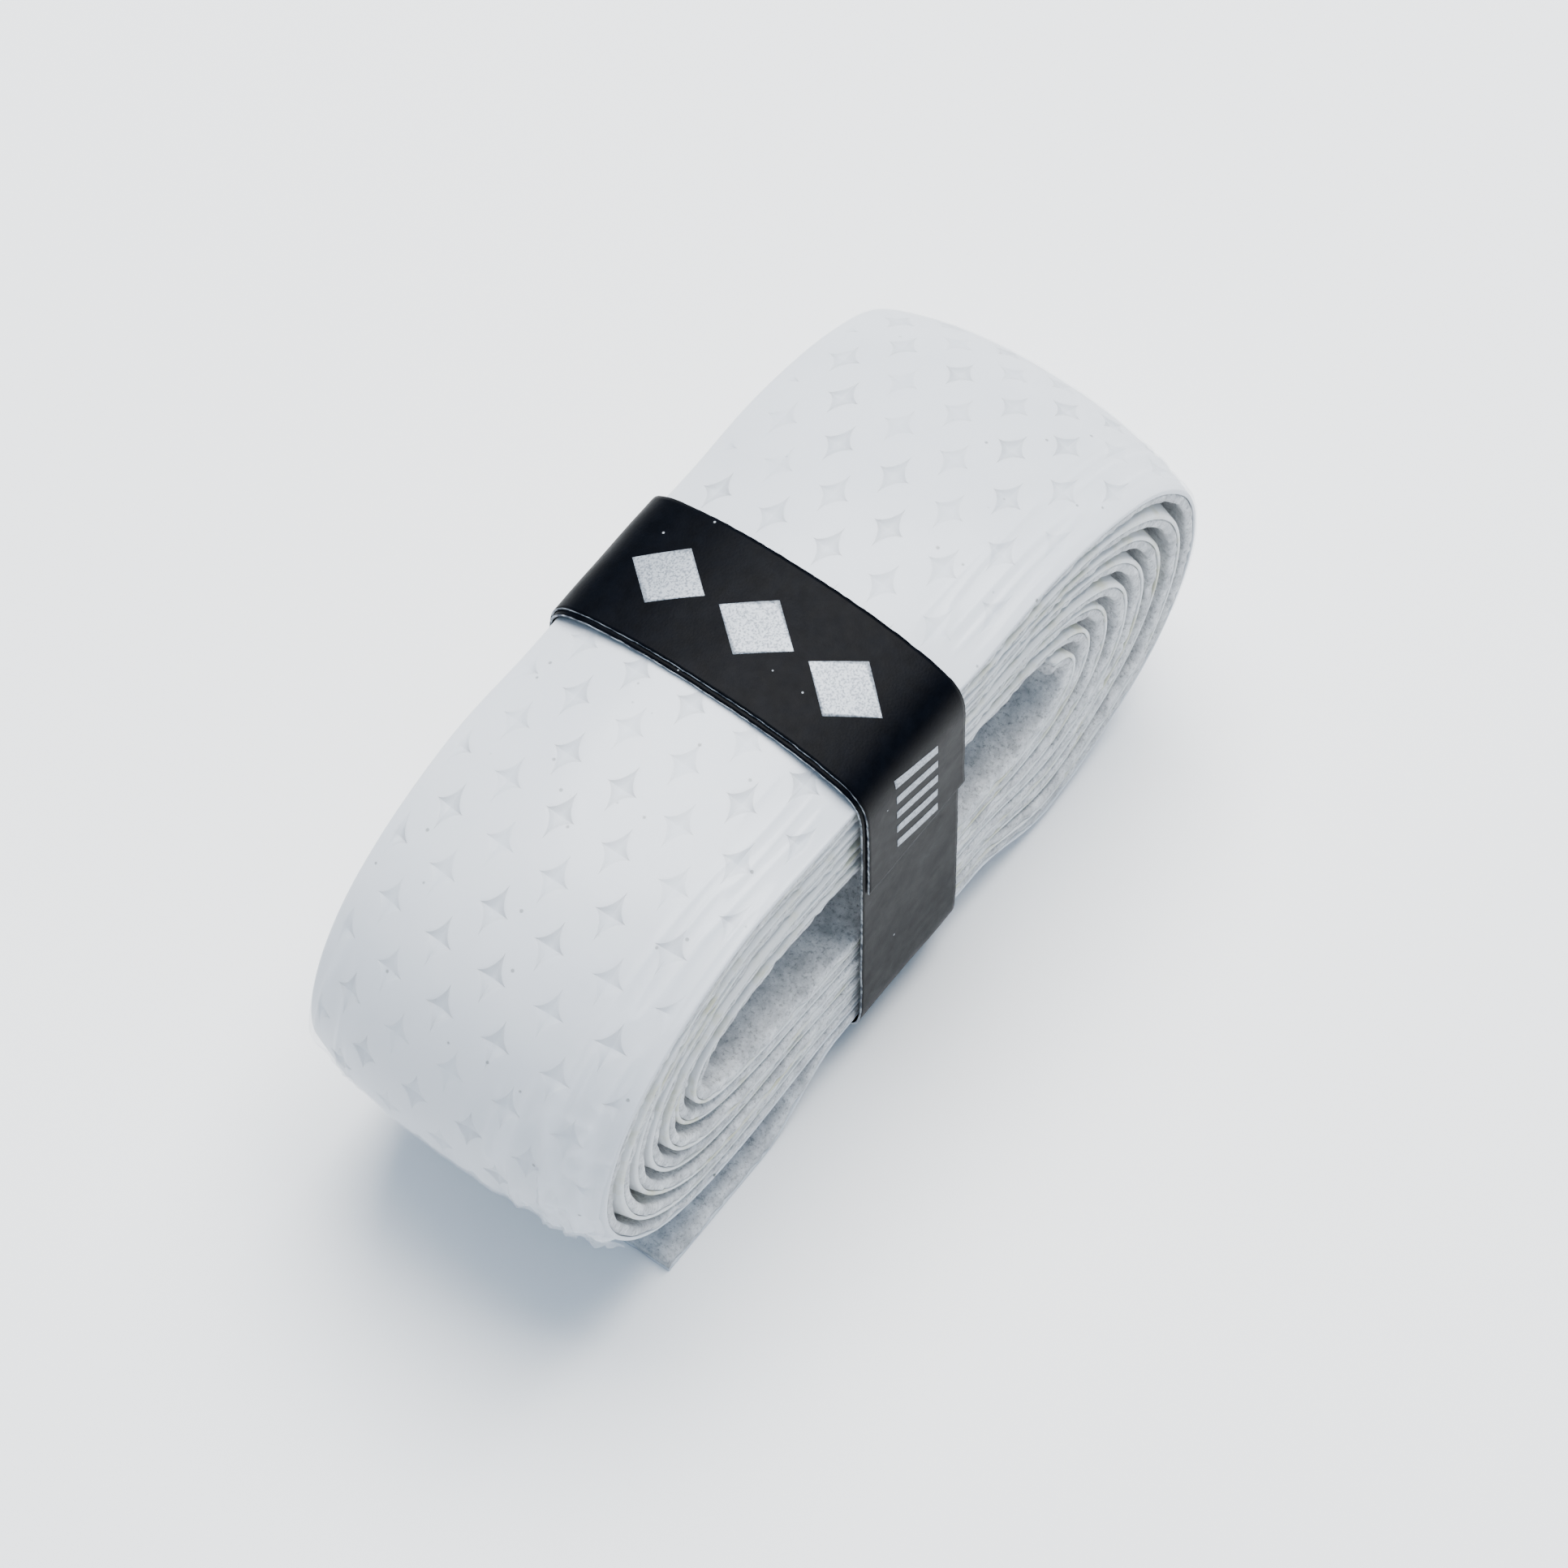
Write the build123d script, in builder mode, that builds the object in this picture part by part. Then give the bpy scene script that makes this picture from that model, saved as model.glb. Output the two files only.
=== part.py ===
"""A flattened roll of replacement grip tape, held at its waist by a black paper band.

The tape is one strip: a soft skin bonded to a felt backing. It is wound into a flat coil with
an open eye, and its free outer end lies under the coil. X runs along the flattened roll, Y runs
along the axis that it was wound about, and Z is up. The origin is on the surface that the roll
stands on, at the middle of its length and width.
"""

import os
from math import cos, pi, sin, sqrt

from build123d import *

os.makedirs("parts", exist_ok=True)

# The tape.
TAPE_WIDTH = 25.0
SKIN = 0.45
FELT = 1.0
FILM = 0.05
TAPE = SKIN + FELT

# The coil. Each run of turns is described by where the skin's outer face lies on the outermost
# turn and on the innermost one, at the two tips, the top and the underside. The flats' values say
# how soon a run bends into a tip, and the skew is how far the right tip sits below the middle.
RIGHT_TIP_OUTER, RIGHT_TIP_INNER = 36.8, 19.3
LEFT_TIP_OUTER, LEFT_TIP_INNER = 37.6, 23.2
TOP_OUTER, TOP_INNER = 38.3, 25.5
FOOT_OUTER, FOOT_INNER = -0.55, 15.2
FLAT_OUTER, FLAT_INNER = 0.50, 0.40
SKEW_OUTER, SKEW_INNER = 0.9, 1.5
WIND_START, WIND_END = -0.5 * pi, 14.25 * pi
STATIONS, TIP_HASTE = 148, 0.7

# The waist, where the band draws the underside up between the two lobes.
WAIST_LIFT = 3.99
WAIST_FLAT = 8.0
LOBE_REACH, TAIL_REACH, OVER_TAIL_REACH = 18.0, 17.0, 30.0

# The free end of the tape, from its cut edge to the waist.
TAIL_STATIONS = (-27.5, -22.0, -18.0, -15.6, -13.4, -11.4, -9.6, -7.4)

# The right lobe stands on a short flat, between these places. It takes the place of one station.
LOBE_FOOT, LOBE_STATION = (13.5, 19.5), 2

# The film covers the outer turn between these stations of the coil.
FILM_START, FILM_END = 4, 16

# The starting end carries a strip of adhesive under a paper liner.
STICK_WIDTH, STICK, LINER_WIDTH, LINER = 11.0, 0.12, 12.0, 0.10
STICK_START = 140

# The band.
BAND_WIDTH, BAND_X = 11.0, -0.3
PAPER, GLUE, INK = 0.16, 0.05, 0.04
BAND_GAP = 0.30
BAND_CORNER = 0.5
BAND_LOW, BAND_TOP = 2.95, 38.05
SEAM_Z, SEAM_RAMP = 23.0, 2.4

# The band's printed marks: lozenges on the top, and slanted bars on the front.
LOZENGE_ACROSS, LOZENGE_ALONG, LOZENGE_PITCH, LOZENGES = 5.0, 6.4, 7.6, 3
BAR_LONG, BAR_SHORT, BAR_PITCH, BAR_TILT, BARS = 4.6, 0.9, 2.0, 18, 5


def mix(outer, inner, depth):
    """A value between the outermost turn's and the innermost turn's."""
    return outer + (inner - outer) * depth


def waist(x, reach):
    """How much of the waist's lift acts at x: all of it at the band, none beyond the reach."""
    near = min(1.0, max(0.0, (reach - abs(x)) / (reach - WAIST_FLAT)))
    return near * near * (3 - 2 * near)


def wound(turn):
    """The skin's outer face at a winding angle, as a complex number x + iz."""
    depth = (turn - WIND_START) / (WIND_END - WIND_START)
    right = mix(RIGHT_TIP_OUTER, RIGHT_TIP_INNER, depth)
    left = mix(-LEFT_TIP_OUTER, -LEFT_TIP_INNER, depth)
    top = mix(TOP_OUTER, TOP_INNER, depth)
    foot = mix(FOOT_OUTER, FOOT_INNER, depth)
    flat = mix(FLAT_OUTER, FLAT_INNER, depth)
    across, up = cos(turn), sin(turn)
    tip = (top - foot) / 2
    straight = (right - left) / 2 - tip
    along = across * sqrt((1 + flat**2) / (across**2 + flat**2))
    x = (right + left) / 2 + straight * along + tip * across
    z = (top + foot) / 2 + tip * up - mix(SKEW_OUTER, SKEW_INNER, depth) * along
    reach = LOBE_REACH if x > 0 else OVER_TAIL_REACH
    return complex(x, z + WAIST_LIFT * (1 - depth) * waist(x, reach) * max(0.0, -up))


def tail(x):
    """The skin's outer face on the free end, from the floor up to the waist."""
    return complex(x, (FOOT_OUTER + WAIST_LIFT) * waist(x, TAIL_REACH))


def station(curve, at, step=1e-4):
    """A point of a curve and its unit heading there."""
    ahead = curve(at + step) - curve(at - step)
    return curve(at), ahead / abs(ahead)


def meeting(start, end):
    """The station where two arcs meet that leave start and reach end along their headings."""
    (p, s), (q, t) = start, end
    chord, total = q - p, s + t
    along = (chord * total.conjugate()).real
    bend = 2 * (1 - (s * t.conjugate()).real)
    span = abs(chord) ** 2
    if bend < 1e-9:
        reach = span / (2 * along)
    else:
        reach = (sqrt(along**2 + bend * span) - along) / bend
    middle = (p + q + reach * (s - t)) / 2
    first = middle - p
    return middle, first * first / abs(first) ** 2 * s.conjugate()


def with_meetings(stations):
    """The stations with the meeting of each pair's two arcs put between them."""
    path = [stations[0]]
    for start, end in zip(stations, stations[1:]):
        path += [meeting(start, end), end]
    return path


def trace_side(path, depth):
    """Draws one face of a layer as arcs, each tangent to the next."""
    for (p, s), (q, t) in zip(path, path[1:]):
        start, end = p + 1j * s * depth, q + 1j * t * depth
        ends = (start.real, start.imag), (end.real, end.imag)
        if abs((s.conjugate() * (q - p)).imag) < 1e-6:
            Line(*ends)
        else:
            TangentArc(*ends, tangent=(s.real, s.imag))


def trace_layer(path, near, far):
    """Draws the closed outline of a layer between two depths to the left of a path."""
    trace_side(path, near)
    trace_side(path, far)
    for point, heading in (path[0], path[-1]):
        corners = [point + 1j * heading * depth for depth in (near, far)]
        Line(*((corner.real, corner.imag) for corner in corners))


def coil_station(number):
    """A numbered station on the coil. They are closer together on the runs than at the tips."""
    walk = WIND_START + (WIND_END - WIND_START) * number / STATIONS
    return station(wound, walk + TIP_HASTE / 2 * sin(2 * walk))


def coil_path(first, last):
    """The coil's path from one numbered station to another."""
    return with_meetings([coil_station(number) for number in range(first, last + 1)])


def tape_path():
    """The whole tape's path, from the free end on the floor to the starting end in the eye."""
    free_end = [station(tail, x) for x in TAIL_STATIONS]
    foot = [(complex(x, 0), 1) for x in LOBE_FOOT]
    before = [coil_station(number) for number in range(LOBE_STATION)]
    after = [coil_station(number) for number in range(LOBE_STATION + 1, STATIONS + 1)]
    return with_meetings(free_end + before + foot + after)


def band_path():
    """The band's inner face: one turn from the seam, then a second ply over the top."""
    side, step = TAPE_WIDTH / 2 + BAND_GAP, PAPER + GLUE
    r = BAND_CORNER
    up, over, down, under = 1j, -1, -1j, 1

    def arch(grow, low):
        y, top, bend = side + grow, BAND_TOP + grow, r + grow
        return [
            (complex(y, top - bend), up),
            (complex(y - bend, top), over),
            (complex(bend - y, top), over),
            (complex(-y, top - bend), down),
            (complex(-y, low), down),
        ]

    first = [(complex(side, SEAM_Z), up)] + arch(0, BAND_LOW + r)
    floor_side = [
        (complex(r - side, BAND_LOW), under),
        (complex(side - r, BAND_LOW), under),
        (complex(side, BAND_LOW + r), up),
        (complex(side, SEAM_Z - SEAM_RAMP), up),
        (complex(side + step, SEAM_Z), up),
    ]
    return with_meetings(first + floor_side + arch(step, SEAM_Z))


def seam_path():
    """The inner ply's face where the outer ply is stuck to it, from the back over the top."""
    side, r = TAPE_WIDTH / 2 + BAND_GAP, BAND_CORNER
    return with_meetings(
        [
            (complex(side, SEAM_Z + SEAM_RAMP), 1j),
            (complex(side, BAND_TOP - r), 1j),
            (complex(side - r, BAND_TOP), -1),
            (complex(r - side, BAND_TOP), -1),
            (complex(-side, BAND_TOP - r), -1j),
            (complex(-side, SEAM_Z + SEAM_RAMP), -1j),
        ]
    )


TAPE_PATH = tape_path()

with BuildPart() as grip_skin:
    with BuildSketch(Plane.XZ):
        with BuildLine():
            trace_layer(TAPE_PATH, 0, SKIN)
        make_face()
    extrude(amount=TAPE_WIDTH / 2, both=True)

with BuildPart() as felt_backing:
    with BuildSketch(Plane.XZ):
        with BuildLine():
            trace_layer(TAPE_PATH, SKIN, TAPE)
        make_face()
    extrude(amount=TAPE_WIDTH / 2, both=True)

with BuildPart() as protective_film:
    with BuildSketch(Plane.XZ):
        with BuildLine():
            trace_layer(coil_path(FILM_START, FILM_END), -FILM, 0)
        make_face()
    extrude(amount=TAPE_WIDTH / 2, both=True)

with BuildPart() as start_adhesive:
    with BuildSketch(Plane.XZ):
        with BuildLine():
            trace_layer(coil_path(STICK_START, STATIONS), TAPE, TAPE + STICK)
        make_face()
    extrude(amount=STICK_WIDTH / 2, both=True)

with BuildPart() as release_liner:
    with BuildSketch(Plane.XZ):
        with BuildLine():
            trace_layer(coil_path(STICK_START, STATIONS), TAPE + STICK, TAPE + STICK + LINER)
        make_face()
    extrude(amount=LINER_WIDTH / 2, both=True)

BAND_PLANE = Plane.YZ.offset(BAND_X)

with BuildPart() as paper_band:
    with BuildSketch(BAND_PLANE):
        with BuildLine():
            trace_layer(band_path(), -PAPER, 0)
        make_face()
    extrude(amount=BAND_WIDTH / 2, both=True)

with BuildPart() as band_glue:
    with BuildSketch(BAND_PLANE):
        with BuildLine():
            trace_layer(seam_path(), -PAPER - GLUE, -PAPER)
        make_face()
    extrude(amount=BAND_WIDTH / 2 - 1, both=True)

OUTER_FACE = PAPER + GLUE + PAPER

with BuildPart() as band_print:
    with BuildSketch(Plane.XY.offset(BAND_TOP + OUTER_FACE)):
        with Locations((BAND_X, 0)):
            with GridLocations(1, LOZENGE_PITCH, 1, LOZENGES):
                across, along = LOZENGE_ACROSS / 2, LOZENGE_ALONG / 2
                Polygon((across, 0), (0, along), (-across, 0), (0, -along))
    extrude(amount=INK)
    with BuildSketch(Plane.XZ.offset(TAPE_WIDTH / 2 + BAND_GAP + OUTER_FACE)):
        with Locations((BAND_X, (SEAM_Z + BAND_TOP) / 2)):
            with GridLocations(1, BAR_PITCH, 1, BARS):
                Rectangle(BAR_LONG, BAR_SHORT, rotation=BAR_TILT)
    extrude(amount=INK)

for name, made in (
    ("grip_skin", grip_skin),
    ("felt_backing", felt_backing),
    ("protective_film", protective_film),
    ("start_adhesive", start_adhesive),
    ("release_liner", release_liner),
    ("paper_band", paper_band),
    ("band_glue", band_glue),
    ("band_print", band_print),
):
    made.part.label = name
    export_step(made.part, f"parts/{name}.step")
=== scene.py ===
"""Looks of a flattened roll of racket grip tape, held at its waist by a black paper band."""

from math import cos, pi, radians, sin, tan

import bpy
import numpy as np
from mathutils import Matrix, Vector


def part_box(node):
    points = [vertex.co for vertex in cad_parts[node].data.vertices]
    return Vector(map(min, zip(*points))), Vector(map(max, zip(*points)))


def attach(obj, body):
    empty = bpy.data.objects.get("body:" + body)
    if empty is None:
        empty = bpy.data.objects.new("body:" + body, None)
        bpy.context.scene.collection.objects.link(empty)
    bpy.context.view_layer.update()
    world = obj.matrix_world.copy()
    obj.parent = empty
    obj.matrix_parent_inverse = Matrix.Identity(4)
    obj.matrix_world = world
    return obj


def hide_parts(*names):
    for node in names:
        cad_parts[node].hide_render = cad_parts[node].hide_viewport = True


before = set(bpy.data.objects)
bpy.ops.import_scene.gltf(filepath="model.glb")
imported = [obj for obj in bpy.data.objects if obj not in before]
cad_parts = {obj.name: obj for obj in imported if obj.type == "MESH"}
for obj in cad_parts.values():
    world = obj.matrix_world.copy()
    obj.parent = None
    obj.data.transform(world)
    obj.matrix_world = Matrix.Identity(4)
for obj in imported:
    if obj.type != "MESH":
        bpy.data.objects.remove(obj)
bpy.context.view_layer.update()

MM = 0.001  # shapes are worked out in millimetres and written in metres

# ------------------------------------------------------------------ sizes from the frame
SKIN_LOW, SKIN_HIGH = (np.array(corner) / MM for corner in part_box("grip_skin"))
BAND_LOW, BAND_HIGH = (np.array(corner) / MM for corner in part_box("paper_band"))
WIDTH = SKIN_HIGH[1] - SKIN_LOW[1]
BAND_WIDTH = BAND_HIGH[0] - BAND_LOW[0]
BAND_X = (BAND_HIGH[0] + BAND_LOW[0]) / 2

# ------------------------------------------------------------------ the tape
SKIN, TAPE = 0.42, 1.45
SKIN_RIM, TAPE_RIM = 0.34, 1.16  # the thicknesses at the rims
CROWN_POWER = 2.3

# The coil is wound as in the CAD model, and crowned: its rims lie lower than its middle.
RIGHT_OUTER, RIGHT_INNER = SKIN_HIGH[0] + 0.60, 19.3
LEFT_OUTER, LEFT_INNER = SKIN_LOW[0] - 1.45, -23.2
TOP_OUTER, TOP_INNER = SKIN_HIGH[2] + 0.78, 25.5
FOOT_OUTER, FOOT_INNER = -0.55, 15.2
FLAT_OUTER, FLAT_INNER = 0.50, 0.40
SKEW_OUTER, SKEW_INNER = 0.9, 1.5
CROWN_RIGHT, CROWN_LEFT, CROWN_TOP, CROWN_FOOT = 1.9, 2.3, 2.0, 0.7
CROWN_WAIST_TOP, CROWN_WAIST_FOOT = 1.15, 0.4  # more crown where the band squeezes the coil
WIND_START, WIND_END = -0.5 * pi, 14.25 * pi
WAIST_LIFT, WAIST_FLAT = 3.99, 8.0
LOBE_REACH, TAIL_REACH, OVER_TAIL_REACH = 18.0, 17.0, 30.0
TAIL_END = -27.5
TAIL_LABEL = -1000.0  # a path label under half of this is a place on the tail

OUTER_EXTRA = 2.0  # how far the outer piece of skin runs on past one turn

# The stars pressed into the skin: half lengths, depth, how hollow their sides are, and lattice.
STAR_LONG, STAR_WIDE, STAR_DEEP, STAR_HOLLOW = 2.15, 1.25, 0.30, 0.62
ROW_STEP, COLUMN_STEP = 3.865, 4.6
ROW_SHIFT, COLUMN_SHIFT, COLUMN_DRIFT = 0.24, 3.75, -0.01

# The film over the outer turn.
FILM, FILM_STAND = 0.03, 0.05
FILM_START, FILM_END = -0.16 * pi, 1.15 * pi
FILM_LIFT = 0.26  # how far the torn edge curls up

# ------------------------------------------------------------------ the band
PAPER, PLY_GAP = 0.16, 0.05
BAND_HALF, BAND_FOOT, BAND_TOP = 12.98, 2.95, 37.78
BAND_SQUARE_TOP, BAND_SQUARE_FOOT, BAND_CROWN = 16.0, 14.0, 2.3
BAND_START, BAND_END = 0.10, 2.93 * pi
BAND_SLANT = 0.45  # how far the strip wanders along X in one turn
GLUE_WIDTH, GLUE_FIRST, GLUE_LAST = 9.0, 9.0, 0.6  # from and to, back from the outer end
INK = 0.03
LOZENGE_LONG, LOZENGE_WIDE, LOZENGE_STEP = 6.2, 5.2, 7.4
BAR_LONG, BAR_WIDE, BAR_STEP, BAR_TILT = 0.9, 4.6, 2.0, 18
BAR_ANGLE = 2.79 * pi  # where the middle bar lies, round the band

# ------------------------------------------------------------------ the view and the light
CAMERA_TURN, CAMERA_RISE, CAMERA_ROLL = 52.80, 60.99, -0.574
CAMERA_SHIFT, CAMERA_LENS = (-1.524, -7.886, -574.8), 186.2
WORLD_STRENGTH, WORLD_COLOUR = 0.60, (0.50, 0.73, 1.0, 1)
KEY_POWER, KEY_SIZE, KEY_PLACE = 24.0, 0.70, (0.27, 0.09, 0.85)
OVERHEAD_POWER, OVERHEAD_SIZE, OVERHEAD_PLACE = 3.0, 0.8, (0.05, -0.02, 0.9)
LIGHT_TARGET = (0, 0, 0.02)
FLOOR_REACH, FLOOR_DROP = 3.0, 0.00002


def mix(outer, inner, depth):
    """A value between the outermost turn's and the innermost turn's."""
    return outer + (inner - outer) * depth


def smooth(low, high, value):
    """0 below low and 1 above high, with a smooth step between them."""
    t = np.clip((value - low) / (high - low), 0, 1)
    return t * t * (3 - 2 * t)


def hashed(seed, *cells):
    """A number between 0 and 1 for each cell, the same in every run."""
    key = np.full(np.broadcast(*cells).shape, seed * 7919 + 1, dtype=np.uint64)
    for cell in cells:
        key = (key ^ np.asarray(cell).astype(np.int64).astype(np.uint64)) * np.uint64(
            0x9E3779B97F4A7C15
        )
        key = key ^ (key >> np.uint64(29))
    return (key >> np.uint64(40)).astype(float) / 2**24


def wavy(seed, *places):
    """Smooth noise between -1 and 1 over any number of coordinates."""
    places = [np.asarray(p, dtype=float) for p in places]
    cells = [np.floor(p) for p in places]
    parts = [p - cell for p, cell in zip(places, cells)]
    parts = [p * p * (3 - 2 * p) for p in parts]
    total = 0.0
    for corner in np.ndindex(*(2,) * len(cells)):
        weight = 1.0
        for part, side in zip(parts, corner):
            weight = weight * (part if side else 1 - part)
        total = total + weight * hashed(seed, *(c + s for c, s in zip(cells, corner)))
    return 2 * total - 1


# ------------------------------------------------------------------ the coil's shape
def waist(x, reach):
    """How much of the waist's lift acts at x: all of it at the band, none beyond the reach."""
    return smooth(-reach, -WAIST_FLAT, -np.abs(x))


def coil(turn, rim):
    """The skin's outer face at winding angles. rim is 0 mid-width and 1 at the rims."""
    depth = (turn - WIND_START) / (WIND_END - WIND_START)
    right = mix(RIGHT_OUTER - CROWN_RIGHT * rim, RIGHT_INNER, depth)
    left = mix(LEFT_OUTER + CROWN_LEFT * rim, LEFT_INNER, depth)
    top = mix(TOP_OUTER - CROWN_TOP * rim, TOP_INNER, depth)
    foot = mix(FOOT_OUTER + CROWN_FOOT * rim, FOOT_INNER, depth)
    flat = mix(FLAT_OUTER, FLAT_INNER, depth)
    side, up = np.cos(turn), np.sin(turn)
    tip = (top - foot) / 2
    along = side * np.sqrt((1 + flat**2) / (side**2 + flat**2))
    x = (right + left) / 2 + ((right - left) / 2 - tip) * along + tip * side
    z = (top + foot) / 2 + tip * up - mix(SKEW_OUTER, SKEW_INNER, depth) * along
    reach = np.where(x > 0, LOBE_REACH, OVER_TAIL_REACH)
    z = z + WAIST_LIFT * (1 - depth) * waist(x, reach) * np.maximum(0, -up)
    squeezed = (1 - depth) * rim * waist(x, LOBE_REACH)
    return x, z + squeezed * np.where(up > 0, -CROWN_WAIST_TOP * up, -CROWN_WAIST_FOOT * up)


def tail(x):
    """The skin's outer face on the free end."""
    return x, (FOOT_OUTER + WAIST_LIFT) * waist(x, TAIL_REACH)


def tape_line():
    """The path's labels and the length at each, mid-width. A tail label holds its x."""
    tail_x = np.linspace(TAIL_END, -0.4, 600, endpoint=False)
    turn = np.linspace(WIND_START, WIND_END, 24000)
    x, z = (np.concatenate(pair) for pair in zip(tail(tail_x), coil(turn, 0.0)))
    length = np.concatenate([[0], np.cumsum(np.hypot(np.diff(x), np.diff(z)))])
    return np.concatenate([tail_x + TAIL_LABEL, turn]), length


LABELS, LENGTHS = tape_line()
COIL_LENGTH = float(np.interp(WIND_START, LABELS, LENGTHS))
OUTER_LENGTH = float(np.interp(WIND_START + 2 * pi, LABELS, LENGTHS))
FILM_FIRST = float(np.interp(FILM_START, LABELS, LENGTHS))
FILM_LAST = float(np.interp(FILM_END, LABELS, LENGTHS))


def place(length, y):
    """The skin's outer face and the way into the coil, at lengths and places across the tape."""
    label = np.interp(length, LENGTHS, LABELS)
    rim = np.abs(2 * y / WIDTH) ** CROWN_POWER
    on_tail = label < TAIL_LABEL / 2
    tail_x, tail_z = tail(np.where(on_tail, label - TAIL_LABEL, 0.0))
    coil_x, coil_z = coil(np.where(on_tail, WIND_START, label), rim)
    blend = smooth(COIL_LENGTH - 16, COIL_LENGTH - 7, length)
    tail_z = tail_z + blend * (CROWN_FOOT + CROWN_WAIST_FOOT) * rim
    x, z = np.where(on_tail, tail_x, coil_x), np.where(on_tail, tail_z, coil_z)
    heading_x, heading_z = np.gradient(x, axis=0), np.gradient(z, axis=0)
    size = np.hypot(heading_x, heading_z)
    return x, z, -heading_z / size, heading_x / size


def wander(length, x, y, z):
    """How far hand-wound tape lies out of line: turns slide past each other, and rims wave."""
    inside = smooth(OUTER_LENGTH - 30, OUTER_LENGTH + 20, length)
    slide = 0.26 * wavy(3, length / 34.0) + 0.10 * wavy(4, length / 8.0)
    far = np.abs(2 * y / WIDTH) ** 6
    sway_x = 0.14 * far * wavy(5, x / 6.0, z / 6.0)
    sway_z = 0.10 * far * wavy(6, x / 6.0, z / 6.0)
    free = smooth(9, 14, np.abs(x))
    return sway_x * free, slide * inside * (0.4 + 0.6 * free), sway_z * free


def face(length, y, depth):
    """A grid of points at a depth into the tape from the skin's outer face."""
    length, y = np.broadcast_arrays(length, y)
    x, z, in_x, in_z = place(length, y)
    shift_x, shift_y, shift_z = wander(length, x, y, z)
    return np.stack(
        [x + in_x * depth + shift_x, y + shift_y, z + in_z * depth + shift_z], axis=-1
    )


def across(spacing, rounding, steps=4):
    """Places across the tape, closer at the rims, and how far each lies back round a rim."""
    angle = np.linspace(0, pi / 2, steps + 1)
    half = WIDTH / 2 - rounding
    middle = np.linspace(-half, half, int(2 * half / spacing) + 1)
    rim_y, rim_back = half + rounding * np.sin(angle[1:]), 1 - np.cos(angle[1:])
    y = np.concatenate([-rim_y[::-1], middle, rim_y])
    return y, np.concatenate([rim_back[::-1], 0 * middle, rim_back])


def thickness(y, middle, rim):
    """A layer's thickness across the tape."""
    return mix(middle, rim, np.abs(2 * y / WIDTH) ** CROWN_POWER)


def stars(length, y):
    """How deep the pressed stars go, from 0 to 1, over the skin, and the nearest star's strength."""
    pressed = np.zeros(np.broadcast(length, y).shape)
    nearest = np.round((length - ROW_SHIFT) / ROW_STEP)
    for beside in (-1, 1, 0):
        row = nearest + beside
        half = np.where(row % 2 == 0, 0.0, COLUMN_STEP / 2) + COLUMN_SHIFT
        half = half + COLUMN_DRIFT * row * ROW_STEP
        column = np.round((y - half) / COLUMN_STEP)
        off_x = length - ROW_SHIFT - row * ROW_STEP
        off_y = y - half - column * COLUMN_STEP
        strength = 0.3 + 0.7 * hashed(13, row, column)
        wide = np.clip(np.abs(off_y) / STAR_WIDE, 0, 1)
        reach = STAR_LONG * (1 - wide**STAR_HOLLOW) ** (1 / STAR_HOLLOW) + 1e-6
        valley = np.sqrt(1 - wide) * np.clip(1 - np.abs(off_x) / reach, 0, 1)
        pressed = np.maximum(pressed, strength * valley)
    return pressed, strength


# ------------------------------------------------------------------ mesh building
def quads(index):
    """The four-cornered faces of a grid of vertex numbers."""
    corners = index[:-1, :-1], index[1:, :-1], index[1:, 1:], index[:-1, 1:]
    return np.stack([corner.ravel() for corner in corners], axis=1)


def ribbon(one, other):
    """The faces between two rows of vertex numbers."""
    return np.stack([one[:-1], one[1:], other[1:], other[:-1]], axis=1)


def closed_sheet(front, back, start=0):
    """The points and faces of a closed sheet between two grids, and how many of its faces are
    on its two sides. The faces of its cut edges come after them."""
    rows, columns = front.shape[:2]
    over = np.arange(rows * columns).reshape(rows, columns) + start
    under = over + rows * columns
    faces = [
        quads(over),
        quads(under)[:, ::-1],
        ribbon(under[:, 0], over[:, 0]),
        ribbon(over[:, -1], under[:, -1]),
        ribbon(over[0], under[0]),
        ribbon(under[-1], over[-1]),
    ]
    points = np.concatenate([front.reshape(-1, 3), back.reshape(-1, 3)])
    return points, np.concatenate(faces), len(faces[0]) + len(faces[1])


def facing_out(points, faces):
    """The faces, turned over if the solid they close is inside out."""
    first, second, third, fourth = (points[faces[:, k]] for k in range(4))
    double_area = np.cross(third - first, fourth - second)
    volume = np.sum((first + second + third + fourth) * double_area)
    return faces if volume > 0 else faces[:, ::-1]


def mesh_object(name, sheets, materials, values=None, cut_slot=0):
    """A smooth-shaded object of closed sheets. Their cut edges take the material cut_slot."""
    points, faces, slots, start = [], [], [], 0
    for front, back in sheets:
        some, made, plain = closed_sheet(front, back, start)
        points.append(some)
        faces.append(made)
        slots.append(np.where(np.arange(len(made)) < plain, 0, cut_slot))
        start += len(some)
    points = np.concatenate(points) * MM
    faces = facing_out(points, np.concatenate(faces))
    mesh = bpy.data.meshes.new(name)
    mesh.vertices.add(len(points))
    mesh.vertices.foreach_set("co", points.astype(np.float32).ravel())
    mesh.loops.add(faces.size)
    mesh.loops.foreach_set("vertex_index", faces.astype(np.int32).ravel())
    mesh.polygons.add(len(faces))
    mesh.polygons.foreach_set("loop_start", np.arange(0, faces.size, 4, dtype=np.int32))
    mesh.polygons.foreach_set("use_smooth", np.ones(len(faces), dtype=bool))
    for material in materials:
        mesh.materials.append(material)
    mesh.polygons.foreach_set("material_index", np.concatenate(slots).astype(np.int32))
    mesh.update(calc_edges=True)
    for key, value in (values or {}).items():
        attribute = mesh.attributes.new(key, "FLOAT", "POINT")
        attribute.data.foreach_set("value", value.astype(np.float32))
    piece = bpy.data.objects.new(name, mesh)
    bpy.context.scene.collection.objects.link(piece)
    return piece


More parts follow.
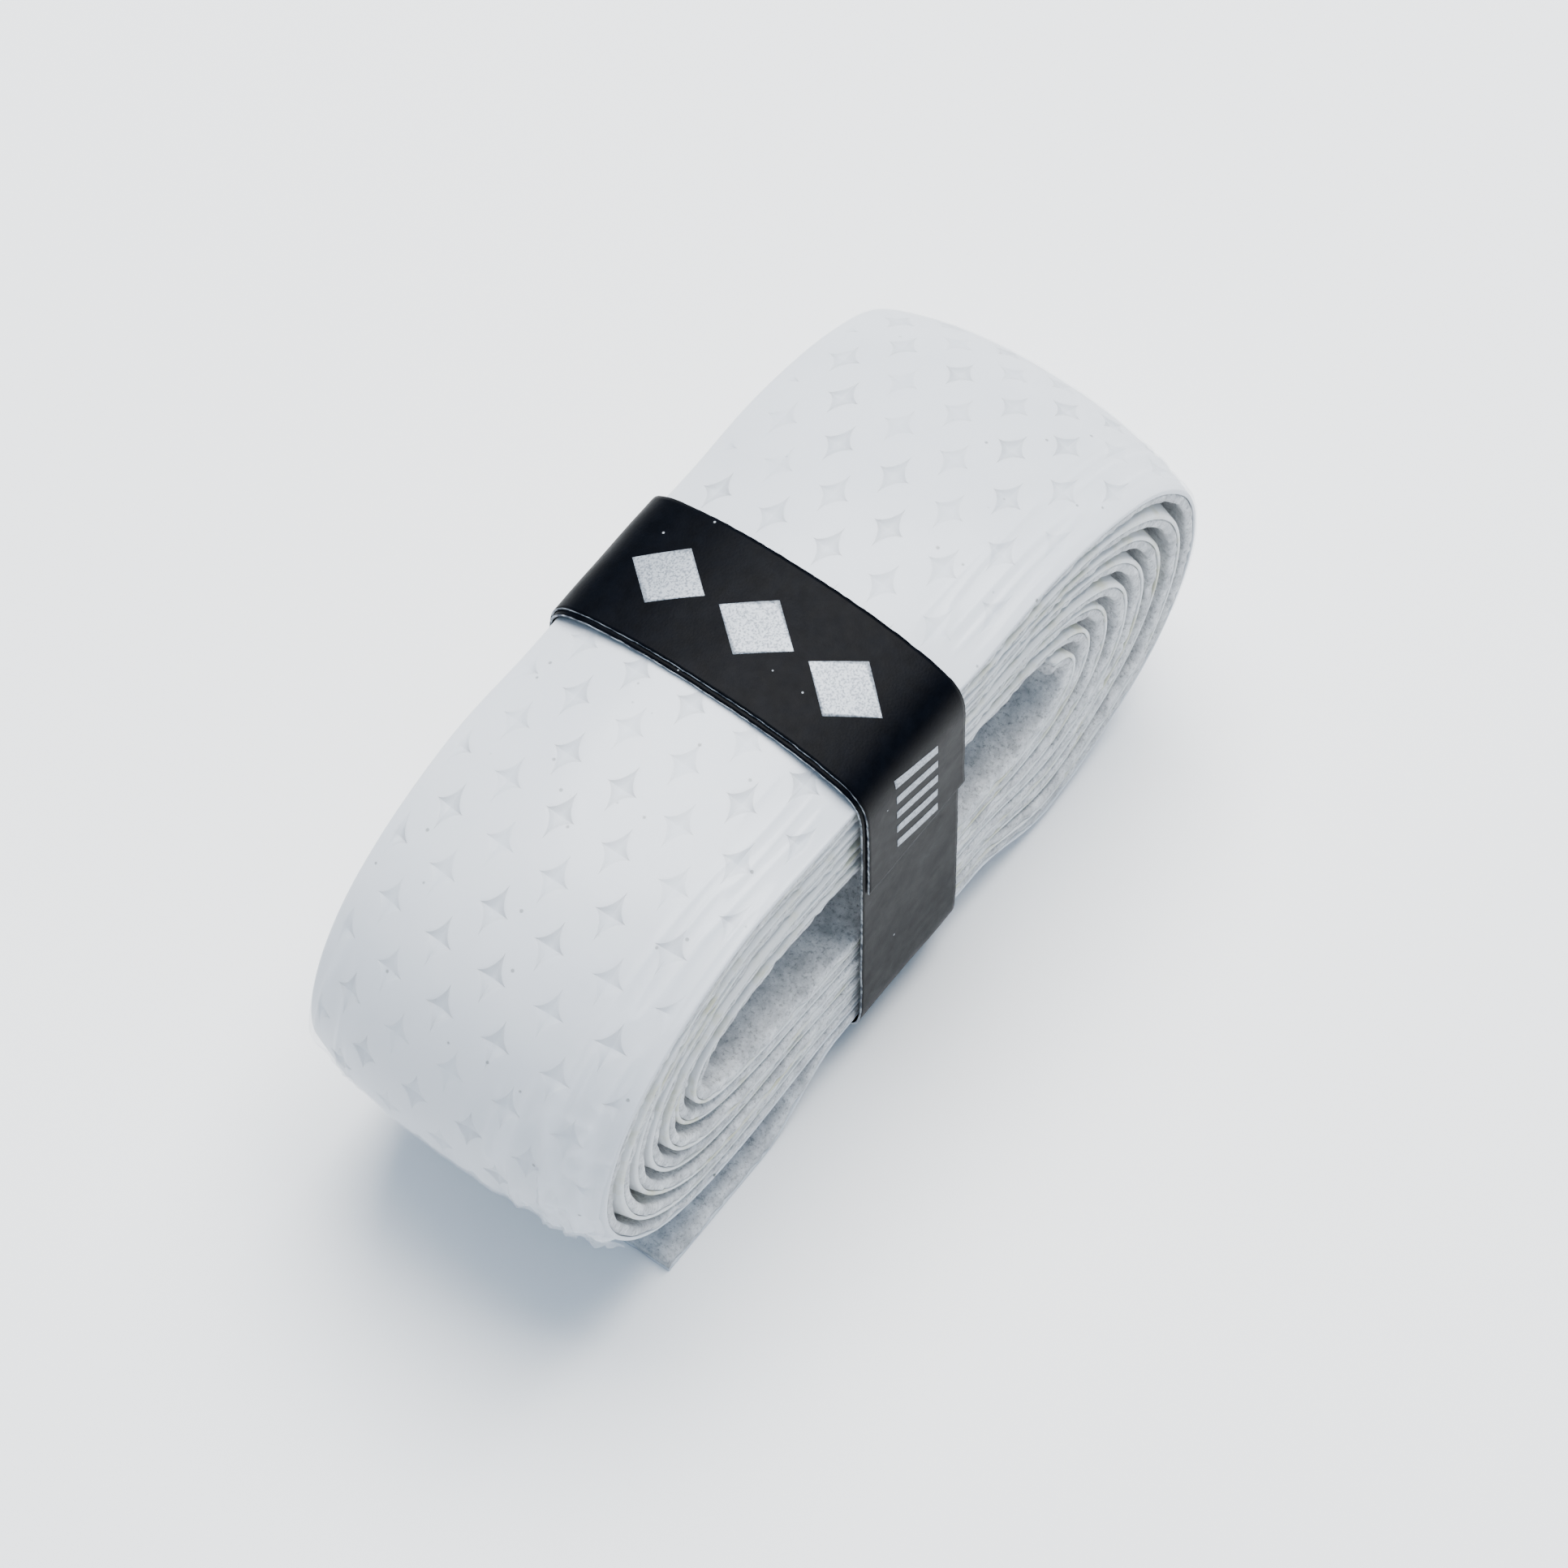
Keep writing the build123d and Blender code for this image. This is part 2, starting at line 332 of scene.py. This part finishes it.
# ------------------------------------------------------------------ materials
def new_material(name, colour, rough, **sockets):
    """A material with one Principled shader, and its node tree and shader."""
    material = bpy.data.materials.new(name)
    material.use_nodes = True
    shader = material.node_tree.nodes["Principled BSDF"]
    shader.inputs["Base Color"].default_value = (*colour, 1)
    shader.inputs["Roughness"].default_value = rough
    for key, value in sockets.items():
        shader.inputs[key.replace("_", " ")].default_value = value
    return material, material.node_tree, shader


def node(tree, kind, inputs=None, **settings):
    """A new node with its settings, and inputs given as numbers or as sockets to link."""
    made = tree.nodes.new("ShaderNode" + kind)
    for key, value in settings.items():
        setattr(made, key, value)
    for key, value in (inputs or {}).items():
        if isinstance(value, bpy.types.NodeSocket):
            tree.links.new(value, made.inputs[key])
        else:
            made.inputs[key].default_value = value
    return made


def object_place(tree):
    """The place on the piece, in metres."""
    return node(tree, "TexCoord").outputs["Object"]


def speckle(tree, place_socket, size, detail=4.0, roughness=0.6):
    """Noise with features of a size in metres."""
    made = node(
        tree,
        "TexNoise",
        {"Vector": place_socket, "Scale": 1 / size, "Detail": detail, "Roughness": roughness},
    )
    return made.outputs["Fac"]


def ramp(tree, value, stops):
    """Colours along a value, from (place, colour) pairs."""
    made = node(tree, "ValToRGB", {"Fac": value})
    elements = made.color_ramp.elements
    while len(elements) < len(stops):
        elements.new(0.5)
    for element, (at, colour) in zip(elements, stops):
        element.position = at
        element.color = (*colour, 1)
    return made.outputs["Color"]


def grey(value):
    """A colour with no hue."""
    return (value, value, value)


def blended(tree, share, one, other, blend_type="MIX"):
    """A mix of two colours, each a socket or three numbers."""
    made = tree.nodes.new("ShaderNodeMix")
    made.data_type, made.blend_type = "RGBA", blend_type
    for socket, value in ((made.inputs[0], share), (made.inputs[6], one), (made.inputs[7], other)):
        if isinstance(value, bpy.types.NodeSocket):
            tree.links.new(value, socket)
        else:
            socket.default_value = (*value, 1) if isinstance(value, tuple) else value
    return made.outputs[2]


def add_bump(tree, shader, height, distance, strength=1.0):
    """Bumps of a depth in metres, on top of any bumps already there."""
    bump = node(tree, "Bump", {"Height": height, "Distance": distance, "Strength": strength})
    normal = shader.inputs["Normal"]
    if normal.is_linked:
        tree.links.new(normal.links[0].from_socket, bump.inputs["Normal"])
    tree.links.new(bump.outputs["Normal"], normal)


def specks(tree, place_socket, spacing, radius, share):
    """1 in a scatter of small dots, of a radius in metres, with one in some cells of a spacing."""
    cells = node(tree, "TexVoronoi", {"Vector": place_socket, "Scale": 1 / spacing})
    edge, core = radius / spacing, 0.6 * radius / spacing
    away = cells.outputs["Distance"]
    dot = node(tree, "MapRange", {"Value": away, "From Min": edge, "From Max": core})
    split = node(tree, "SeparateColor", {"Color": cells.outputs["Color"]})
    chosen = node(tree, "Math", {0: split.outputs[0], 1: share}, operation="LESS_THAN")
    both = node(tree, "Math", {0: dot.outputs["Result"], 1: chosen.outputs[0]}, operation="MULTIPLY")
    return both.outputs[0]


def number(tree, operation, first, second=0.0):
    """The result of a sum on sockets or numbers."""
    return node(tree, "Math", {0: first, 1: second}, operation=operation).outputs[0]


def star_height(tree):
    """The pressed stars as in stars(), worked out finely from the place on the tape."""
    along = node(tree, "Attribute", attribute_name="along").outputs["Fac"]
    beside = node(tree, "Attribute", attribute_name="beside").outputs["Fac"]
    rows = number(tree, "DIVIDE", number(tree, "SUBTRACT", along, ROW_SHIFT), ROW_STEP)
    row = number(tree, "ROUND", rows)
    off_x = number(tree, "MULTIPLY", number(tree, "SUBTRACT", rows, row), ROW_STEP)
    odd = number(tree, "PINGPONG", row, 1.0)
    half = number(tree, "MULTIPLY", odd, COLUMN_STEP / 2)
    half = number(tree, "ADD", half, number(tree, "MULTIPLY", row, COLUMN_DRIFT * ROW_STEP))
    shifted = number(tree, "SUBTRACT", number(tree, "SUBTRACT", beside, half), COLUMN_SHIFT)
    columns = number(tree, "DIVIDE", shifted, COLUMN_STEP)
    off_y = number(tree, "SUBTRACT", columns, number(tree, "ROUND", columns))
    off_y = number(tree, "ABSOLUTE", number(tree, "MULTIPLY", off_y, COLUMN_STEP / STAR_WIDE))
    wide = number(tree, "MINIMUM", off_y, 1.0)
    reach = number(tree, "SUBTRACT", 1.0, number(tree, "POWER", wide, STAR_HOLLOW))
    reach = number(tree, "MULTIPLY", number(tree, "POWER", reach, 1 / STAR_HOLLOW), STAR_LONG)
    reach = number(tree, "MAXIMUM", reach, 0.0001)
    slope = number(tree, "DIVIDE", number(tree, "ABSOLUTE", off_x), reach)
    slope = number(tree, "MAXIMUM", number(tree, "SUBTRACT", 1.0, slope), 0.0)
    deepest = number(tree, "SQRT", number(tree, "SUBTRACT", 1.0, wide))
    height = number(tree, "MULTIPLY", slope, deepest)
    starred = node(tree, "Attribute", attribute_name="starred").outputs["Fac"]
    return number(tree, "MULTIPLY", height, starred)


def skin_material():
    """White polyurethane: a fine grain, faint clouding, star pits painted darker as shade, creases
    painted lighter as highlight and a few dust specks.
    """
    material, tree, shader = new_material(
        "skin", (0.66, 0.68, 0.71), 0.42, Specular_IOR_Level=0.3, Sheen_Weight=0.05
    )
    where = object_place(tree)
    shades = [(0.3, (0.61, 0.64, 0.69)), (0.7, (0.66, 0.685, 0.72))]
    cloud = ramp(tree, speckle(tree, where, 0.009), shades)
    pressed = star_height(tree)
    # The star pits are painted darker and bluer: painted shade in the recesses, on top of their
    # bump.
    painted_pit_shade = node(tree, "MapRange", {"Value": pressed, "From Max": 0.14, "To Max": 0.24})
    colour = blended(tree, painted_pit_shade.outputs["Result"], cloud, (0.40, 0.46, 0.54))
    # The creases are painted lighter: a painted highlight along the film's wrinkles.
    painted_crease_highlight = node(tree, "Attribute", attribute_name="painted_crease_highlight").outputs["Fac"]
    colour = blended(tree, painted_crease_highlight, colour, (0.80, 0.84, 0.89))
    dust = specks(tree, where, 0.0016, 0.00017, 0.22)
    colour = blended(tree, dust, colour, (0.16, 0.17, 0.17))
    tree.links.new(colour, shader.inputs["Base Color"])
    grain = speckle(tree, where, 0.0012)
    rough = node(tree, "MapRange", {"Value": grain, "To Min": 0.34, "To Max": 0.52})
    tree.links.new(rough.outputs["Result"], shader.inputs["Roughness"])
    add_bump(tree, shader, number(tree, "MULTIPLY", pressed, -1.0), 0.00042, 1.0)
    add_bump(tree, shader, speckle(tree, where, 0.00022, 3.0), 0.00002, 0.5)
    add_bump(tree, shader, speckle(tree, where, 0.0016, 2.0), 0.00005, 0.5)
    return material


def inner_skin_material():
    """The same skin between the turns, painted olive and darker in blotches as shade in the gaps
    between them.
    """
    material, tree, shader = new_material("inner_skin", (0.70, 0.71, 0.66), 0.5)
    where = object_place(tree)
    # Olive-grey blotches: painted shade for the gaps between the turns.
    shades = [(0.32, (0.50, 0.50, 0.38)), (0.5, (0.64, 0.66, 0.67))]
    painted_gap_shade = ramp(tree, speckle(tree, where, 0.004), shades)
    tree.links.new(painted_gap_shade, shader.inputs["Base Color"])
    add_bump(tree, shader, speckle(tree, where, 0.0003, 3.0), 0.00004, 0.7)
    return material


def felt_material():
    """Matted grey-white fibres."""
    material, tree, shader = new_material(
        "felt",
        (0.66, 0.69, 0.73),
        0.95,
        Specular_IOR_Level=0.15,
        Sheen_Weight=0.25,
        Sheen_Roughness=0.5,
    )
    where = object_place(tree)
    coarse = speckle(tree, where, 0.0016, 6.0, 0.7)
    fine = speckle(tree, where, 0.00028, 4.0, 0.75)
    shades = [(0.34, (0.42, 0.43, 0.445)), (0.50, (0.62, 0.63, 0.645)), (0.66, (0.84, 0.85, 0.86))]
    mottle = ramp(tree, coarse, shades)
    grain = ramp(tree, fine, [(0.36, grey(0.55)), (0.47, grey(0.92)), (0.66, grey(1.0))])
    tree.links.new(blended(tree, 1.0, mottle, grain, "MULTIPLY"), shader.inputs["Base Color"])
    add_bump(tree, shader, coarse, 0.00025, 0.8)
    add_bump(tree, shader, fine, 0.00012, 1.0)
    return material


def film_material():
    """Clear thin film, seen only by its shine."""
    material, tree, shader = new_material(
        "film", (0.93, 0.96, 1.0), 0.18, Alpha=0.16, Specular_IOR_Level=0.6
    )
    where = object_place(tree)
    add_bump(tree, shader, speckle(tree, where, 0.004, 3.0), 0.00008, 0.6)
    return material


def paper_material():
    """Black printed paper with a matte coating, fine tooth and a few white fibres."""
    material, tree, shader = new_material("band_paper", (0.002, 0.003, 0.006), 0.42, IOR=1.12)
    where = object_place(tree)
    blacks = [(0.35, (0.0004, 0.0007, 0.0017)), (0.7, (0.0012, 0.0018, 0.0036))]
    shade = ramp(tree, speckle(tree, where, 0.0011), blacks)
    white = specks(tree, where, 0.0012, 0.00010, 0.16)
    tree.links.new(blended(tree, white, shade, (0.35, 0.37, 0.40)), shader.inputs["Base Color"])
    tooth = speckle(tree, where, 0.0009)
    rough = node(tree, "MapRange", {"Value": tooth, "To Min": 0.34, "To Max": 0.5})
    tree.links.new(rough.outputs["Result"], shader.inputs["Roughness"])
    add_bump(tree, shader, speckle(tree, where, 0.00018, 3.0), 0.000015, 0.8)
    add_bump(tree, shader, speckle(tree, where, 0.006, 2.0), 0.00018, 0.4)
    return material


def paper_cut_material():
    """The pale core that shows at the band's cut edges."""
    material, tree, shader = new_material("paper_cut", (0.30, 0.33, 0.37), 0.8)
    where = object_place(tree)
    shades = [(0.4, (0.06, 0.07, 0.09)), (0.62, (0.52, 0.56, 0.60))]
    core = ramp(tree, speckle(tree, where, 0.0007), shades)
    tree.links.new(core, shader.inputs["Base Color"])
    return material


def ink_material():
    """Silver ink, broken up by the paper's tooth."""
    material, tree, shader = new_material("silver_ink", (0.34, 0.37, 0.41), 0.45, Metallic=0.3)
    where = object_place(tree)
    tooth = speckle(tree, where, 0.00016, 3.0)
    fine = ramp(tree, tooth, [(0.40, (0.15, 0.17, 0.20)), (0.54, (0.36, 0.39, 0.43))])
    tree.links.new(fine, shader.inputs["Base Color"])
    add_bump(tree, shader, tooth, 0.00002, 0.6)
    return material


def plain_paper_material(name, light, dark):
    """Paper or tape with faint clouding."""
    material, tree, shader = new_material(name, light, 0.6)
    where = object_place(tree)
    clouds = ramp(tree, speckle(tree, where, 0.0015), [(0.35, dark), (0.65, light)])
    tree.links.new(clouds, shader.inputs["Base Color"])
    add_bump(tree, shader, speckle(tree, where, 0.0004), 0.00002, 0.6)
    return material


# ------------------------------------------------------------------ the tape's pieces
def make_felt():
    """The felt backing, over the whole length of the tape."""
    length = np.append(np.arange(0, LENGTHS[-1], 0.5), LENGTHS[-1])[:, None]
    y, off = (row[None, :] for row in across(0.75, 0.38))
    near = thickness(y, SKIN, SKIN_RIM) + 0.10 * off
    far = thickness(y, TAPE, TAPE_RIM) - 0.42 * off
    fuzz = 0.05 * wavy(21, length / 0.7, y / 0.6) + 0.04 * wavy(22, length / 1.9, y / 1.7)
    rim = np.abs(2 * y / WIDTH) ** 40
    front, back = face(length, y, near), face(length, y, far + fuzz * 0.8)
    frayed = 0.09 * wavy(23, length / 0.55) + 0.06 * wavy(24, length / 1.7) - 0.05
    ragged = rim * np.sign(y) * frayed
    front[..., 1] += ragged
    back[..., 1] += ragged
    return mesh_object("felt_strip", [(front, back)], [felt_material()])


def make_skin():
    """The skin: its outer turn with the stars pressed in, then the turns inside."""
    y, off = (row[None, :] for row in across(0.20, 0.16))
    length = np.concatenate(
        [
            np.arange(0, COIL_LENGTH, 0.8),
            np.arange(COIL_LENGTH, OUTER_LENGTH + OUTER_EXTRA, 0.21),
            [OUTER_LENGTH + OUTER_EXTRA],
        ]
    )[:, None]
    inboard = smooth(WIDTH / 2 - 0.7, WIDTH / 2 - 1.6, np.abs(y))
    pressed, strength = stars(length, y)
    pressed = pressed * inboard
    relief = 0.02 * wavy(31, length / 2.2, y / 2.4) - 0.8 * creases(length, y) * inboard
    outer_front = face(length, y, STAR_DEEP * pressed + 0.16 * off + relief)
    outer_back = face(length, y, thickness(y, SKIN, SKIN_RIM) - 0.10 * off - 0.01)
    wide_y, wide_off = (row[None, :] for row in across(0.9, 0.16))
    rest = np.arange(OUTER_LENGTH + OUTER_EXTRA, LENGTHS[-1], 0.6)
    rest = np.append(rest, LENGTHS[-1])[:, None]
    inner_front = face(rest, wide_y, 0.16 * wide_off)
    inner_back = face(rest, wide_y, thickness(wide_y, SKIN, SKIN_RIM) - 0.10 * wide_off - 0.01)
    nothing = 0 * pressed
    marks = {
        "along": (length + nothing, length + nothing),
        "beside": (y + nothing, y + nothing),
        "starred": (strength * inboard, nothing),
        # How much lighter the creases are painted, as a painted highlight.
        "painted_crease_highlight": (np.clip(1.6 * creases(length, y), 0, 0.7) * inboard, nothing),
    }
    values = {key: np.concatenate([side.ravel() for side in pair]) for key, pair in marks.items()}
    outer = mesh_object("skin_outer_turn", [(outer_front, outer_back)], [skin_material()], values)
    inner = mesh_object("skin_inner_turns", [(inner_front, inner_back)], [inner_skin_material()])
    return outer, inner


def creases(length, y):
    """How high the film and the skin under it stand in ridges: by the -Y rim and the torn end."""
    from_band = smooth(BAND_WIDTH / 2 + 1.0, BAND_WIDTH / 2 + 4.0, np.abs(place(length, y)[0]))
    near_end = smooth(FILM_LAST - 22, FILM_LAST - 11, length)
    ridges = (1 - np.abs(wavy(43, length / 13.0, y / 0.8))) ** 4
    streaks = (1 - np.abs(wavy(44, length / 6.0, y / 1.1))) ** 3
    tangle = (1 - np.abs(wavy(46, length / 2.2, y / 1.5))) ** 3
    streak_share = smooth(1.0, -8.0, y) + 0.7 * smooth(6.5, 10.5, y)
    height = 0.17 * ridges * smooth(-6.8, -8.8, y) * smooth(60, 80, length) * from_band
    height = height + 0.46 * streaks * near_end * streak_share
    return height + 0.34 * tangle * near_end * smooth(-3.5, -9.0, y)


def make_film():
    """The clear film on the outer turn: wrinkled near one rim and at its torn lower end."""
    y = np.linspace(-WIDTH / 2, WIDTH / 2 - 0.1, 190)[None, :]
    torn = FILM_LAST + 3.0 * smooth(-4, 8, y) + 0.9 * wavy(41, y / 2.6) + 0.3 * wavy(42, y / 0.9)
    length = FILM_FIRST + (torn - FILM_FIRST) * np.linspace(0, 1, 640)[:, None]
    lifted = FILM_LIFT * smooth(2.2, 0, torn - length) * (0.6 + 0.4 * wavy(47, y / 1.2))
    stand = FILM_STAND + creases(length, y) + lifted + 0.02 * (1 + wavy(45, length / 3.0, y / 2.5))
    y = y + 0 * length
    sides = face(length, y, -stand - FILM), face(length, y, -stand)
    return mesh_object("film_over_outer_turn", [sides], [film_material()])


# ------------------------------------------------------------------ the band's pieces
def band_line():
    """The band's inner face by length: y, z and the way out, and the length at each angle."""
    angle = np.linspace(BAND_START, BAND_END, 12000)
    middle, half = (BAND_TOP + BAND_FOOT) / 2, (BAND_TOP - BAND_FOOT) / 2
    square = np.where(np.sin(angle) > 0, BAND_SQUARE_TOP, BAND_SQUARE_FOOT)
    across_share = np.abs(np.cos(angle)) / BAND_HALF
    up_share = np.abs(np.sin(angle)) / half
    radius = (across_share**square + up_share**square) ** (-1 / square)
    y, z = radius * np.cos(angle), middle + radius * np.sin(angle)
    z = z - BAND_CROWN * np.abs(y / BAND_HALF) ** CROWN_POWER * smooth(0, half, z - middle)
    heading_y, heading_z = np.gradient(y), np.gradient(z)
    size = np.hypot(heading_y, heading_z)
    out_y, out_z = heading_z / size, -heading_y / size
    ply = (PAPER + PLY_GAP) * smooth(2 * pi + BAND_START - 0.25, 2 * pi + BAND_START, angle)
    y, z = y + out_y * ply, z + out_z * ply
    length = np.concatenate([[0], np.cumsum(np.hypot(np.diff(y), np.diff(z)))])
    return angle, length, y, z, out_y, out_z


BAND_ANGLES, BAND_LENGTHS, BAND_YS, BAND_ZS, BAND_OUT_YS, BAND_OUT_ZS = band_line()


def band_length(angle):
    """The length along the band at an angle round it."""
    return float(np.interp(angle, BAND_ANGLES, BAND_LENGTHS))


def band_face(length, x, out):
    """A grid of points on the band, at lengths, places across it and heights over its inner face."""
    length, x, out = np.broadcast_arrays(length, x, out)
    y, z, out_y, out_z = (
        np.interp(length, BAND_LENGTHS, values)
        for values in (BAND_YS, BAND_ZS, BAND_OUT_YS, BAND_OUT_ZS)
    )
    turn = np.interp(length, BAND_LENGTHS, BAND_ANGLES) / (2 * pi)
    wave = 0.05 * wavy(61, length / 9.0, x / 5.0) + 0.03 * wavy(62, length / 2.6, x / 3.0)
    out = out + wave
    slant = BAND_SLANT * (turn - 1.0) + 0.07 * wavy(63, length / 14.0, 0 * x)
    return np.stack([BAND_X + x + slant, y + out_y * out, z + out_z * out], axis=-1)


def make_band():
    """The paper band: one strip wound about one turn and a half, its outer end square."""
    length = np.linspace(0, BAND_LENGTHS[-1], int(BAND_LENGTHS[-1] / 0.25))[:, None]
    x = np.linspace(-BAND_WIDTH / 2, BAND_WIDTH / 2, 40)[None, :]
    fray = 0.025 * wavy(64, length / 0.4, x * 0)
    edge = np.sign(x) * np.abs(2 * x / BAND_WIDTH) ** 30
    front, back = band_face(length, x, PAPER), band_face(length, x, 0.0)
    front[..., 0] += fray * edge
    back[..., 0] += fray * edge
    materials = [paper_material(), paper_cut_material()]
    return mesh_object("band_strip", [(front, back)], materials, cut_slot=1)


def make_band_glue():
    """The glue between the band's plies, under its outer end."""
    end = BAND_LENGTHS[-1]
    length = np.linspace(end - GLUE_FIRST, end - GLUE_LAST, 60)[:, None]
    x = np.linspace(-GLUE_WIDTH / 2, GLUE_WIDTH / 2, 16)[None, :]
    sides = band_face(length, x, -0.006), band_face(length, x, 0.006 - PLY_GAP)
    material = plain_paper_material("glue", (0.62, 0.58, 0.44), (0.50, 0.46, 0.34))
    return mesh_object("band_glue_patch", [sides], [material])


def mark(middle, long, wide, tilt=0.0, pointed=False):
    """An inked patch on the band: a lozenge, or a bar across it with a tilt in degrees."""
    share = np.linspace(-1, 1, 41)[:, None]
    side = np.linspace(-1, 1, 13)[None, :]
    breadth = wide / 2 * (1.002 - np.abs(share)) if pointed else wide / 2 + 0 * share
    x = side * breadth
    length = middle + long / 2 * share + x * tan(radians(tilt))
    return band_face(length, x, PAPER + INK), band_face(length, x, PAPER + 0.002)


def make_marks():
    """The silver marks: lozenges along the top and a row of slanted bars on the side."""
    top, side = band_length(2.5 * pi), band_length(BAR_ANGLE)
    tops = (top + k * LOZENGE_STEP for k in (-1, 0, 1))
    sides = (side + k * BAR_STEP for k in (-2, -1, 0, 1, 2))
    sheets = [mark(middle, LOZENGE_LONG, LOZENGE_WIDE, pointed=True) for middle in tops]
    sheets += [mark(middle, BAR_LONG, BAR_WIDE, tilt=BAR_TILT) for middle in sides]
    return mesh_object("band_marks", sheets, [ink_material()])


# ------------------------------------------------------------------ the studio
def make_floor():
    """A pale floor far larger than the view."""
    signs = [(-1, -1), (1, -1), (1, 1), (-1, 1)]
    corners = [(x * FLOOR_REACH, y * FLOOR_REACH, -FLOOR_DROP) for x, y in signs]
    mesh = bpy.data.meshes.new("floor")
    mesh.from_pydata(corners, [], [(0, 1, 2, 3)])
    material = new_material("floor", (0.96, 0.965, 0.97), 0.8, Specular_IOR_Level=0.2)[0]
    mesh.materials.append(material)
    floor = bpy.data.objects.new("floor", mesh)
    bpy.context.scene.collection.objects.link(floor)
    return floor


def make_light(name, source, size, power, colour):
    """A square soft light that points at the roll."""
    light = bpy.data.lights.new(name, "AREA")
    light.shape, light.size, light.energy, light.color = "SQUARE", size, power, colour
    lamp = bpy.data.objects.new(name, light)
    aim = (Vector(LIGHT_TARGET) - Vector(source)).to_track_quat("-Z", "Y")
    lamp.matrix_world = Matrix.Translation(source) @ aim.to_matrix().to_4x4()
    bpy.context.scene.collection.objects.link(lamp)


def make_camera():
    """The camera: a long lens, high over the coil's -X and -Y corner."""
    turn, rise, roll = radians(CAMERA_TURN), radians(CAMERA_RISE), radians(CAMERA_ROLL)
    right = Vector((cos(turn), -sin(turn), 0))
    back = Vector((-sin(turn) * cos(rise), -cos(turn) * cos(rise), sin(rise)))
    up = back.cross(right)
    rows = Matrix((right, up, back))
    spin = Matrix(((cos(roll), sin(roll), 0), (-sin(roll), cos(roll), 0), (0, 0, 1)))
    rows = spin @ rows
    place_at = -(rows.transposed() @ Vector(CAMERA_SHIFT))
    data = bpy.data.cameras.new("camera")
    data.lens, data.sensor_width = CAMERA_LENS, 36.0
    data.clip_start, data.clip_end = 0.01, 20
    camera = bpy.data.objects.new("camera", data)
    camera.matrix_world = Matrix.Translation(place_at * MM) @ rows.transposed().to_4x4()
    bpy.context.scene.collection.objects.link(camera)
    bpy.context.scene.camera = camera


def light_studio():
    """Soft light from high on the far side, a weaker light overhead and a pale blue world."""
    world = bpy.data.worlds.new("studio")
    bpy.context.scene.world = world
    world.use_nodes = True
    background = world.node_tree.nodes["Background"]
    background.inputs["Color"].default_value = WORLD_COLOUR
    background.inputs["Strength"].default_value = WORLD_STRENGTH
    make_light("key", KEY_PLACE, KEY_SIZE, KEY_POWER, (1.0, 0.985, 0.96))
    make_light("overhead", OVERHEAD_PLACE, OVERHEAD_SIZE, OVERHEAD_POWER, (0.97, 0.98, 1.0))


# ------------------------------------------------------------------ the whole
def claim(piece, body, node_name):
    """A piece rides a body and stands for a node, whose CAD part is hidden."""
    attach(piece, body)
    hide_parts(node_name)
    return piece


def paint_node(node_name, material):
    """A CAD node that stays in view gets a material of its own."""
    materials = bpy.data.objects[node_name].data.materials
    materials.clear()
    materials.append(material)


def main():
    outer, inner = make_skin()
    felt, film = make_felt(), make_film()
    claim(outer, "roll", "grip_skin")
    claim(inner, "roll", "grip_skin")
    claim(felt, "roll", "felt_backing")
    claim(film, "roll", "protective_film")
    band, glue, marks = make_band(), make_band_glue(), make_marks()
    claim(band, "band", "paper_band")
    claim(glue, "band", "band_glue")
    claim(marks, "band", "band_print")
    tack = plain_paper_material("tack", (0.66, 0.62, 0.48), (0.52, 0.48, 0.36))
    liner = plain_paper_material("liner", (0.66, 0.69, 0.72), (0.56, 0.60, 0.66))
    paint_node("start_adhesive", tack)
    paint_node("release_liner", liner)
    floor = make_floor()
    make_camera()
    light_studio()


main()
